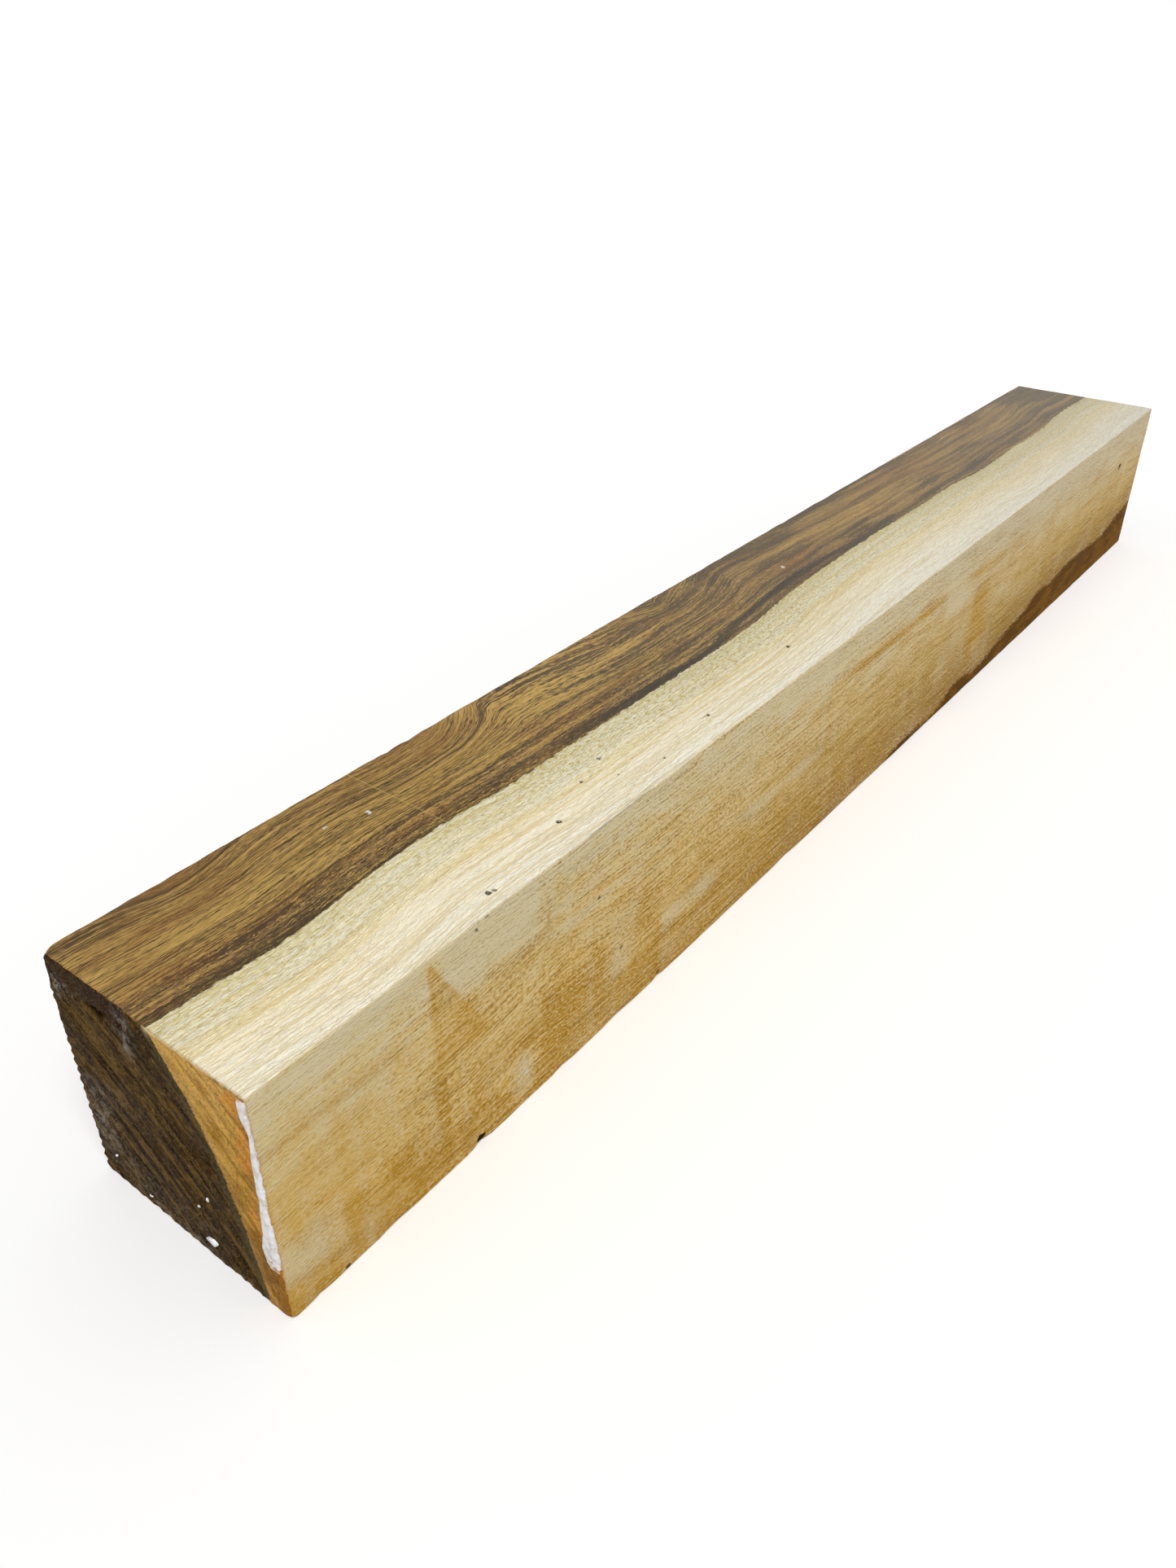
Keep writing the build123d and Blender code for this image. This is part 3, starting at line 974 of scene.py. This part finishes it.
def bandsawn_hardwood():
    """Dry streaky hardwood straight from a bandsaw, matt and open-pored."""
    material, tree, mark = begin_finish(
        "bandsawn hardwood", dry_wood, ("sawn", "shade", "red", "ink", "hole_shade_and_dirt", "speck")
    )
    wood = add_node(tree, "ShaderNodeGroup", node_tree=figure).outputs
    along_face = add_node(tree, "split", [mark["sawn"]]).outputs[0]

    # Dark and red areas of the heartwood, where its strands darken with them
    dark_strands = add_node(tree, "times_add", [wood["Tone"], -1.2, mark["shade"]])
    shaded = add_node(tree, "soft_range", [dark_strands, 0.1, 0.9, 0.0, 0.75])
    reddened = add_node(tree, "times", [mark["red"], 0.55])
    # The inky line, ragged by the dashes, from a third to two thirds of the way down
    inky = add_node(tree, "times_add", [wood["Dash"], 1.6, mark["ink"]])
    inky = add_node(tree, "absolute", [inky])
    inky = add_node(tree, "soft_range", [inky, 2.2, 0.7, 0.0, 0.80])
    ends = [(150, 195, 0, 1), (450, 340, 0, 1)]
    inky = times_shares(tree, inky, along_face, "soft_range", ends)
    # One saw tooth scored a pale line straight across the heartwood
    score = add_node(tree, "subtract", [along_face, score_at])
    score = add_node(tree, "absolute", [score])
    score = add_node(tree, "range", [score, score_half_width, 0.1, 0.0, 0.35])
    shaded, reddened, inky, score = (
        add_node(tree, "times", [share, wood["Heart"]]) for share in (shaded, reddened, inky, score)
    )
    # A painted sheen and a painted falloff of the light grey the far half a little, and the end's
    # wax soaked into the first half millimetre of the faces
    colour = paint_over(tree, wood["Colour"], [
        (shaded, "#463e31"), (reddened, "#82552d"), (inky, "#3b372e"),
        (("range", along_face, 100.0, 610.0, 0.42), "#a09a90"),
        (score, "#cdb366"),
        (("soft_range", along_face, 0.9, 0.1, 0.4), "#7a5426"),
        # The pinholes are painted dark as their shade, with the dirt in the arris
        (mark["hole_shade_and_dirt"], "#2c1d0b"), (mark["speck"], "#dcd5cf"),
    ])
    relief = [(wood["Fibre"], 0.06), (wood["Dash"], 0.09), (wood["Thread"], 0.05)]
    return end_finish(material, colour, [wood["Tone"], -0.4, 0.4, 0.52, 0.68], relief)


# %% [markdown]
# ## Finish 2: the old sapwood side
#
# This side is the oldest of the four. Its sapwood has gone from cream to ochre, and it wears a
# greyish film of dried sap and wax. Towards the bottom the ochre is painted darker, as shade
# from the light above. Under the film the saw's fuzz is still there. The film is thin and matt,
# so it is mixed into the colour and only slightly smooths the surface. Fine lines 1 to 2 mm
# apart follow the flow of the fibres.

# %% Aged sapwood with its film
# Size in mm along and across the fibres, then detail
side_grain = {
    "line": ((34.0, 0.80, 1.0), 2.0),
    "dash": ((5.0, 0.45, 1.0), 2.0),
    "fuzz": ((1.3, 0.60, 1.0), 2.0),
    "patch": ((16.0, 6.0, 1.0), 3.0),
}
# Ochres from the bottom up: the darker ones low down are painted shade
ochres_with_painted_shade = [
    (0, "#c0922f"), (0.12, "#cb9e44"), (0.35, "#d8b05f"), (0.65, "#debb74"), (0.85, "#e1c88d"),
    (1, "#e2cfa2"),
]


def aged_sapwood():
    """The sapwood side: ochre with age, and a thin greyish film in upright swipes."""
    material, tree, mark = begin_finish(
        "aged sapwood with a dried film", dry_wood,
        ("sawn", "grain", "flow", "film", "gold", "aged", "rosy", "wedge", "hole_shade_and_dirt", "speck"),
    )
    is_heart = add_node(tree, "ShaderNodeGroup", node_tree=figure).outputs["Heart"]
    along_face, _, up_face = add_node(tree, "split", [mark["sawn"]]).outputs
    ring_face = add_node(tree, "split", [mark["grain"]]).outputs[1]
    grain = {}
    for name, (size, detail) in side_grain.items():
        fibres = {"Vector": mark["flow"], "Detail": detail, "Roughness": 0.6}
        grain[name] = add_node(tree, "noise", fibres, size=size)
    weights = {"line": 0.55, "dash": 0.35, "fuzz": 0.60, "patch": 0.08}
    tone = weighted_sum(tree, [(grain[name], weight) for name, weight in weights.items()])
    calmed = [(25, 60, 0.35, 1), (150, 450, 1, 0.60)]
    tone = times_shares(tree, tone, along_face, "range", calmed)

    # Ochre, painted deeper towards the bottom as shade from the light above
    height_for_painted_shade = add_node(tree, "divide", [up_face, height])
    height_for_painted_shade = add_node(tree, "times_add", [grain["patch"], 0.35, height_for_painted_shade])
    colour = add_node(tree, "ramp", [height_for_painted_shade], stops=ochres_with_painted_shade)
    old = add_node(tree, "range", [tone, 0.0, -0.50, 0.0, 0.75])
    young = add_node(tree, "range", [tone, 0.0, 0.50, 0.0, 0.60])

    # The wedge is bare of film, most of all along its slant
    bare = add_node(tree, "times_add", [grain["fuzz"], 1.2, mark["wedge"]])
    bare = add_node(tree, "soft_range", [bare, -0.3, 0.4, 0.0, 0.85])
    bare = times_shares(tree, bare, mark["wedge"], "range", [(0.0, 4.5, 1.0, 0.5)])
    uncovered = add_node(tree, "subtract", [1.0, bare])
    film = add_node(tree, "times_add", [grain["fuzz"], 0.5, mark["film"]])
    film = add_node(tree, "times", [film, uncovered], use_clamp=True)
    film = add_node(tree, "times", [film, 0.70])
    golden = add_node(tree, "times_add", [grain["patch"], 0.25, mark["gold"]])
    aged = add_node(tree, "times", [mark["aged"], 0.60])
    rosy = add_node(tree, "times", [mark["rosy"], 0.60])
    # The sapwood is reddish for a few millimetres before the heartwood
    by_heart = add_node(tree, "times_add", [grain["patch"], 5.0, ring_face])
    colour = paint_over(tree, colour, [
        (aged, "#a08344"), (rosy, "#cdbfaa"),
        (("soft_range", golden, 0.05, 1.0, 0.90), "#c09026"),
        (("soft_range", by_heart, -6.0, 0.5, 0.60), "#93682c"),
        (bare, "#c99832"), (old, "#8a6118"), (young, "#efd9a6"), (film, "#ddd1ac"),
        (("soft_range", along_face, 0.9, 0.2, 0.5), "#c4802c"),
    ])
    # The heartwood at its foot, darker along the border
    border = add_node(tree, "times_add", [grain["patch"], 6.0, ring_face])
    brown = add_node(tree, "mix", {0: old, 6: "#774e08", 7: "#3a2404"})
    brown = paint_over(tree, brown, [
        (young, "#a3772a"), (("soft_range", border, 4.0, 0.5, 0.50), "#3f2807"),
    ])
    colour = paint_over(tree, colour, [
        # The pinholes are painted dark as their shade, with the dirt in the arris
        (is_heart, brown), (mark["hole_shade_and_dirt"], "#33230f"), (mark["speck"], "#d9d2c6"),
    ])
    relief = [(grain["line"], 0.06), (grain["dash"], 0.06), (grain["fuzz"], 0.08)]
    return end_finish(material, colour, [mark["film"], 0.0, 1.0, 0.72, 0.58], relief)


# %% [markdown]
# ## Finish 3: waxed end grain
#
# End grain drinks in wax, which turns it dark and wet-looking: cream sapwood becomes amber,
# and heartwood almost black. What stays on top is a thin clear film that rounds off the saw
# ripples, and clots of it have gone grey with dust. The film's glints are painted into the
# colour, as lighter ripple crests and pale flecks. Paraffin has an IOR of 1.44, and rough end
# grain keeps its film matt, at a roughness of about 0.45.

# %% Waxed ends
WAX_IOR = 1.44
# The wax sank in, and the broken fibres that stand proud of it are dull
waxed_wood = {"IOR": WAX_IOR, "Specular IOR Level": 0.01}
# Ambers from the foot up: the darker ones low down are painted shade
ambers_with_painted_shade = [(0, "#8d601c"), (0.25, "#9b6f25"), (0.6, "#c0923b"), (1, "#dfb260")]
waxed_browns = [(0, "#261703"), (0.4, "#392607"), (0.65, "#46310c"), (1, "#674d1e")]
# What the noise is read in, its size in mm on each axis, and its roughness
end_grain = {
    "blotch": ("sawn", (9.0, 9.0, 9.0), 0.6),
    "mottle": ("sawn", (3.0, 3.0, 3.0), 0.6),
    "grit": ("sawn", (0.8, 0.8, 0.8), 0.6),
    "broad": ("saw_marks", (3.6, 40.0, 34.0), 0.55),
    "fine": ("saw_marks", (0.9, 16.0, 9.0), 0.55),
}


def waxed_end_grain():
    """Crosscut end, darkened and glazed by paraffin, with grey clots of it."""
    material, tree, mark = begin_finish(
        "waxed end grain", waxed_wood,
        ("sawn", "grain", "saw_marks", "clot", "ripple", "torn", "pit", "dry"),
    )
    is_heart = add_node(tree, "ShaderNodeGroup", node_tree=figure).outputs["Heart"]
    _, across_face, up_face = add_node(tree, "split", [mark["sawn"]]).outputs
    ring_face = add_node(tree, "split", [mark["grain"]]).outputs[1]
    grain = {}
    for name, (spot, size, roughness) in end_grain.items():
        reading = {"Vector": mark[spot], "Detail": 2.0, "Roughness": roughness}
        grain[name] = add_node(tree, "noise", reading, size=size)
    blotch, mottle, grit, broad, fine = grain.values()
    # Streaks along the saw's track, broad and fine
    streak = weighted_sum(tree, [(broad, 0.60), (fine, 0.40), (blotch, 0.20), (mottle, 0.25)])

    # Amber sapwood, painted darker towards the foot as shade from the light above, and orange where the wax
    # is thick at its arris
    height_for_painted_shade = add_node(tree, "divide", [up_face, height])
    height_for_painted_shade = add_node(tree, "times_add", [blotch, 0.35, height_for_painted_shade])
    amber = add_node(tree, "ramp", [height_for_painted_shade], stops=ambers_with_painted_shade)
    orange = add_node(tree, "times_add", [blotch, -7.0, across_face])
    orange = add_node(tree, "soft_range", [orange, 8.5, 2.5, 0.0, 0.85])
    orange = times_shares(tree, orange, up_face, "range", [(12, 34, 0.15, 1)])
    amber = paint_over(tree, amber, [
        (orange, "#d98e35"),
        (("range", streak, 0.0, -0.45, 0.60), "#99611f"),
        (("range", streak, 0.0, 0.45, 0.60), "#e6b15a"),
        (("soft_range", ring_face, -3.5, -0.3, 0.30), "#c6a062"),
    ])

    # Heartwood: brown streaks, with an olive rim along the border and a painted highlight on the ripple
    # crests
    streak_share = add_node(tree, "range", [streak, -0.35, 0.35, 0.0, 1.0])
    brown = add_node(tree, "ramp", [streak_share], stops=waxed_browns)
    crest_highlight = add_node(tree, "times_add", [mottle, -0.9, mark["ripple"]])
    rim = add_node(tree, "times_add", [mottle, 4.0, ring_face])
    torn = add_node(tree, "times", [mark["torn"], 0.8])
    brown = paint_over(tree, brown, [
        (("soft_range", crest_highlight, 0.75, 0.1, 0.15), "#7a6138"),
        (("soft_range", rim, 4.5, 0.5, 0.55), "#5f5638"),
        (torn, "#33200f"),
    ])

    # Dark grit, light grit painted as the glints of the wax film, grey clots, and the dark hollow and crust
    crumbly = add_node(tree, "times_add", [grit, 0.9, mottle])
    clotted = times_shares(tree, mark["clot"], crumbly, "range", [(-0.20, 0.35, 0.10, 1.0)])
    # The hollow under the torn strip is painted near black as its shade, and the crumbs and crust in the same
    # mark are dark
    pit_shade_and_crust = add_node(tree, "times", [mark["pit"], 0.95])
    colour = paint_over(tree, amber, [
        (is_heart, brown),
        (("soft_range", grit, -0.08, -0.45, 0.40), "#1e130a"),
        (("soft_range", grit, 0.28, 0.42, 0.22), "#97866c"),
        (clotted, "#857c72"), (pit_shade_and_crust, "#1a0d08"), (mark["dry"], "#dcc592"),
    ])
    relief = [(grit, 0.04), (mottle, 0.06), (fine, 0.06)]
    return end_finish(material, colour, [grit, -0.4, 0.4, 0.36, 0.56], relief)


# %% Dress the timber
for finish in (bandsawn_hardwood(), aged_sapwood(), waxed_end_grain()):
    timber.data.materials.append(finish)
    print("finish:", finish.name, len(finish.node_tree.nodes), "nodes")
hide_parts("blank")
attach(timber, "root")

# %% [markdown]
# ## The wax that ran down the arris
#
# The end was dipped or brushed with molten paraffin, and some ran down the sapwood arris and
# set white. It starts thin at the top, is almost pinched off where the wood sticks out, and
# swells to a belly at its foot, clear of the arris. Run wax sets smooth on its inner side and
# crumbles on its outer side, where it is knocked.
#
# It could be a curve with a bevel, but that would be a rope. Here it is a sheet with an
# outline and a thickness, whose back lies in the ripples of the wood, so that it sits as run
# wax does.

# %% Outline and sheet of the bead
# How far in from the arris each edge of the bead runs, by height
bead_outer_edge = [
    (16.6, 1.5), (18.5, 0.5), (21, 0.1), (30, 0.05), (37.5, 0.2), (44, 0.1), (50, 0.05), (74, 0.05),
]
bead_inner_edge = [
    (16.6, 4.2), (18.5, 4.8), (21, 5.1), (24.5, 5.2), (27, 4.5), (30, 3.6), (37.5, 2.8), (50, 2.1),
    (58, 1.5), (62, 0.9), (65, 0.9), (67, 2), (71.5, 2.8), (74, 2.5),
]
bead_thickness = [
    (16.6, 0.05), (19, 0.25), (22, 0.5), (45, 0.4), (62, 0.25), (65.5, 0.2), (69, 0.3), (74, 0.15),
]
bead_foot, bead_top = 16.6, 74.0
bead_rows, bead_columns = 260, 24
bead_root = 0.25
bead_end_length = 1.2
front_limit = -0.58


def sheet_mesh(name, front, back):
    """A closed mesh between two grids of points with one shared border."""
    rows, columns = front.shape[:2]
    points = np.concatenate([front.reshape(-1, 3), back.reshape(-1, 3)])
    index = np.arange(rows * columns).reshape(rows, columns)
    quads = np.stack([index[:-1, :-1], index[:-1, 1:], index[1:, 1:], index[1:, :-1]], -1).reshape(-1, 4)
    rim = np.concatenate([index[0, :-1], index[:-1, -1], index[-1, :0:-1], index[:0:-1, 0]])
    after = np.roll(rim, -1)
    second = rows * columns
    skirt = np.stack([after, rim, rim + second, after + second], -1)
    mesh = bpy.data.meshes.new(name)
    faces = np.concatenate([quads, quads[:, ::-1] + second, skirt])
    mesh.from_pydata(place(points).tolist(), [], faces.tolist())
    mesh.shade_smooth()
    return mesh


rows, columns = np.meshgrid(
    np.linspace(bead_foot, bead_top, bead_rows), np.linspace(0, 1, bead_columns), indexing="ij"
)
zeros = np.zeros_like(rows)
flat_spots = np.stack([zeros, zeros, rows], -1).reshape(-1, 3)
foot_share = step(26 - rows, 0, 6)
outer = track(bead_outer_edge, rows)
outer = outer + (0.12 + 0.5 * foot_share) * bumps(flat_spots, 1.0, 31.0).reshape(rows.shape)
inner = track(bead_inner_edge, rows) + 0.30 * bumps(flat_spots, 4.0, 33.0).reshape(rows.shape)
inner = inner + 1.0 * foot_share * bumps(flat_spots, 0.9, 32.0).reshape(rows.shape)
outer = np.clip(outer, 0.05, None)
inner = np.maximum(inner, outer + 0.15)
bead_across = outer + (inner - outer) * columns
spots = np.stack([bead_across, rows, zeros], -1).reshape(-1, 3)
wood_behind = near_end_shape(spots[:, 0], spots[:, 1])[0].reshape(rows.shape)
from_ends = np.minimum(rows - bead_foot, bead_top - rows) / bead_end_length
crown = np.sqrt(np.clip(1 - np.abs(2 * columns - 1) ** 3.0, 0, 1)) * np.sqrt(np.clip(from_ends, 0, 1))
crumbly = step(1 - columns, 0.6, 1.0) * 0.5 + foot_share
lumps = 1 + 0.3 * bumps(spots, 5.0, 35.0).reshape(rows.shape)
lumps = lumps + 0.45 * crumbly * bumps(spots, 0.9, 37.0).reshape(rows.shape)
thickness = (track(bead_thickness, rows) + 0.10) * lumps * crown
filled = np.clip(1.5 * crown, 0, 1)
front_along = np.clip(wood_behind * (1 - filled) - thickness, front_limit, None)
front = np.stack([front_along, bead_across, rows], -1)
back = np.stack([wood_behind + bead_root, bead_across, rows], -1)
wax_sheet = sheet_mesh("wax_run", front, back)

# Where the wax is so thin that the wood shows through it, from 0 to 1
thin = (1 - step(thickness, 0.05, 0.35)) * (0.1 + 0.9 * step(columns, 0.2, 0.7))
thin = thin + 0.30 * step(rows, 58.0, 66.0) + 0.9 * step(22.5 - rows, 0, 5.5)
thin = np.clip(thin + (0.5 + foot_share) * bumps(spots, 1.2, 39.0).reshape(rows.shape), 0, 1).ravel()
wax_sheet.attributes.new("thin", "FLOAT", "POINT").data.foreach_set("value", np.concatenate([thin, thin]))
bead = bpy.data.objects.new("wax_run", wax_sheet)
scene.collection.objects.link(bead)
print("wax run, mm wide:", round(float((inner - outer).max()), 1))
print("wax run, mm proud:", round(float(-front_along.min()), 2))

# %% The drop and the small spatters
# across, up, half length, half breadth, thickness, tilt in degrees
spatters = {
    "wax_blob": [(28.0, 6.5, 2.5, 1.35, 0.8, 18.0)],
    "wax_spatter": [
        (30.5, 17.5, 0.9, 0.5, 0.45, 35.0), (25.3, 24.0, 0.5, 0.8, 0.30, 10.0),
        (66.3, 9.6, 0.8, 0.45, 0.40, 40.0), (53.5, 3.6, 1.0, 0.4, 0.25, 20.0),
    ],
}
blob_detail = 4
blob_sunk = 0.25
blob_front_limit = -0.78


def wax_blobs(name, drops):
    """Set drops of wax on the near end: flattened, lumpy balls sunk a little into the ripples."""
    mesh = bmesh.new()
    for across, up, half_length, half_breadth, thick, tilt in drops:
        made = bmesh.ops.create_icosphere(mesh, subdivisions=blob_detail, radius=1.0)["verts"]
        ball = np.array([vertex.co for vertex in made])
        sized = ball * half_length
        ball = ball * (1 + 0.30 * bumps(sized, 1.6, across) + 0.08 * bumps(sized, 0.5, up))[:, None]
        turn = math.radians(tilt)
        right = ball[:, 1] * half_length
        rise = ball[:, 2] * half_breadth
        spot_across = across - right * math.cos(turn) + rise * math.sin(turn)
        spot_up = up + right * math.sin(turn) + rise * math.cos(turn)
        behind = float(near_end_shape(np.array([across]), np.array([up]))[0][0])
        depth = behind + blob_sunk + ball[:, 0] * (thick + blob_sunk)
        spots = place(np.stack([np.clip(depth, blob_front_limit, None), spot_across, spot_up], 1))
        for vertex, spot in zip(made, spots):
            vertex.co = spot
    for face in mesh.faces:
        face.smooth = True
    data = bpy.data.meshes.new(name)
    mesh.to_mesh(data)
    mesh.free()
    made = bpy.data.objects.new(name, data)
    scene.collection.objects.link(made)
    return made


waxes = {name: wax_blobs(name, drops) for name, drops in spatters.items()}
print("drops:", {name: len(drops) for name, drops in spatters.items()})

# %% [markdown]
# ## Finish 4: set paraffin
#
# Paraffin wax is white and a little translucent: light goes a millimetre or two into it, which
# softens its shadows and makes thin edges look greyish, where the dark wood shows through. Its
# surface is softly glossy, and it picks up sawdust and rubs dull.

# %% Paraffin
dust_size, crumb_size = 3.0 * MM, 0.5 * MM
paraffin_whites = [(0, "#d9d5d0"), (0.3, "#ecebe9"), (0.55, "#f4f5f6"), (1, "#f8fafc")]
translucent_wax = {
    "IOR": WAX_IOR, "Subsurface Weight": 0.3, "Subsurface Scale": 0.6 * MM,
    "Subsurface Radius": (1.0, 0.9, 0.8),
}


def set_paraffin():
    """White end-sealing wax, slightly translucent, with patches of dust."""
    material, tree, mark = begin_finish("set paraffin", translucent_wax, ["thin"])
    spot = add_node(tree, "ShaderNodeTexCoord").outputs["Object"]
    dust, crumb = (
        add_node(tree, "noise", {"Vector": spot, "Detail": 3.0, "Roughness": 0.6}, size=(size,) * 3)
        for size in (dust_size, crumb_size)
    )
    dust_share = add_node(tree, "range", [dust, -0.45, 0.45, 0.0, 1.0])
    colour = add_node(tree, "ramp", [dust_share], stops=paraffin_whites)
    thin = add_node(tree, "times", [mark["thin"], 0.60])
    colour = paint_over(tree, colour, [
        (thin, "#cda78f"), (("range", mark["thin"], 0.70, 1.0, 0.85), "#bd8447"),
    ])
    return end_finish(material, colour, [dust, -0.4, 0.4, 0.55, 0.40], [(crumb, 0.04)])


paraffin = set_paraffin()
for piece in (bead, *waxes.values()):
    piece.data.materials.append(paraffin)
    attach(piece, "root")
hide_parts("wax_bead")
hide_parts("wax_drop")

# %% [markdown]
# ## The sizes
#
# The dressed blank may not be larger than the imported model, so both boxes are written down
# side by side.

# %% Sizes
visual_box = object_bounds()
boxes = {"cad": [list(spot) for spot in cad_box], "visual": [list(spot) for spot in visual_box]}
for name, (low, high) in boxes.items():
    print(name, "box, mm:", [round(value / MM, 2) for value in low + high])
